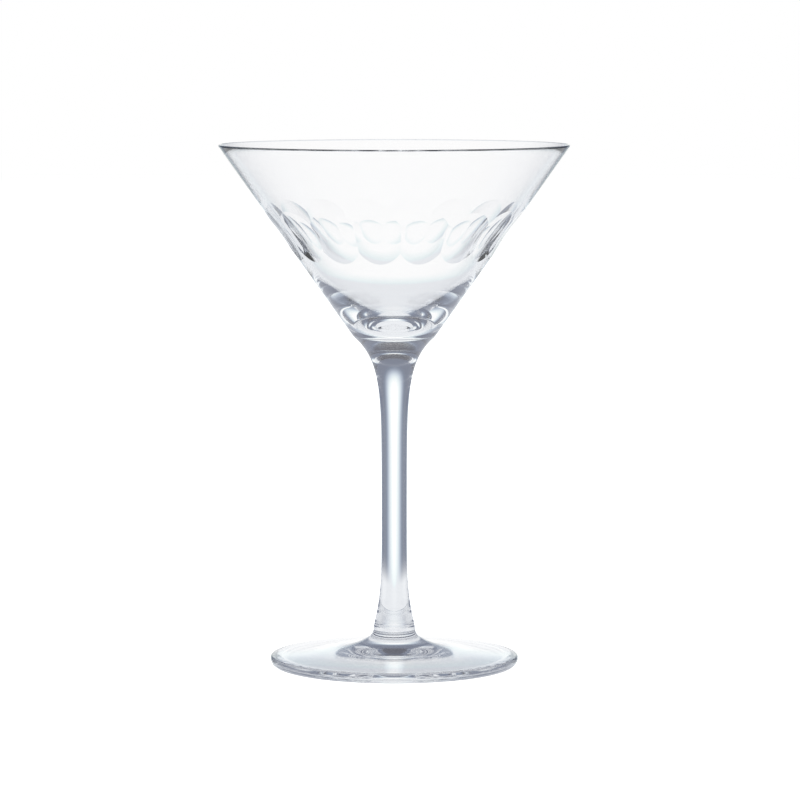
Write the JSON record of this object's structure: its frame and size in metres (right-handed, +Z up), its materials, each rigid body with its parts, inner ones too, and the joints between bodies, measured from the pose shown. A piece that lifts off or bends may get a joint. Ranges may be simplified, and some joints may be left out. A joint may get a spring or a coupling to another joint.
{
  "type": "martini glass",
  "caption": "Clear crystal martini glass: conical bowl with a band of oval cuts, slim drawn stem and round disc foot.",
  "frame": {"origin": "centre of the foot's underside, on the surface that the glass stands on", "axes": "+Z up along the axis of the glass; the glass is round about Z, and its cuts start 14.5 degrees from +X"},
  "size_m": [0.1104, 0.1104, 0.165],
  "materials": {
    "bowl_crystal": "clear fire-polished crystal, with polished oval cuts",
    "stem_crystal": "clear fire-polished crystal",
    "foot_crystal": "clear fire-polished crystal"
  },
  "bodies": {
    "root": {"bowl": "bowl_crystal", "stem": "stem_crystal", "foot": "foot_crystal"}
  },
  "joints": []
}
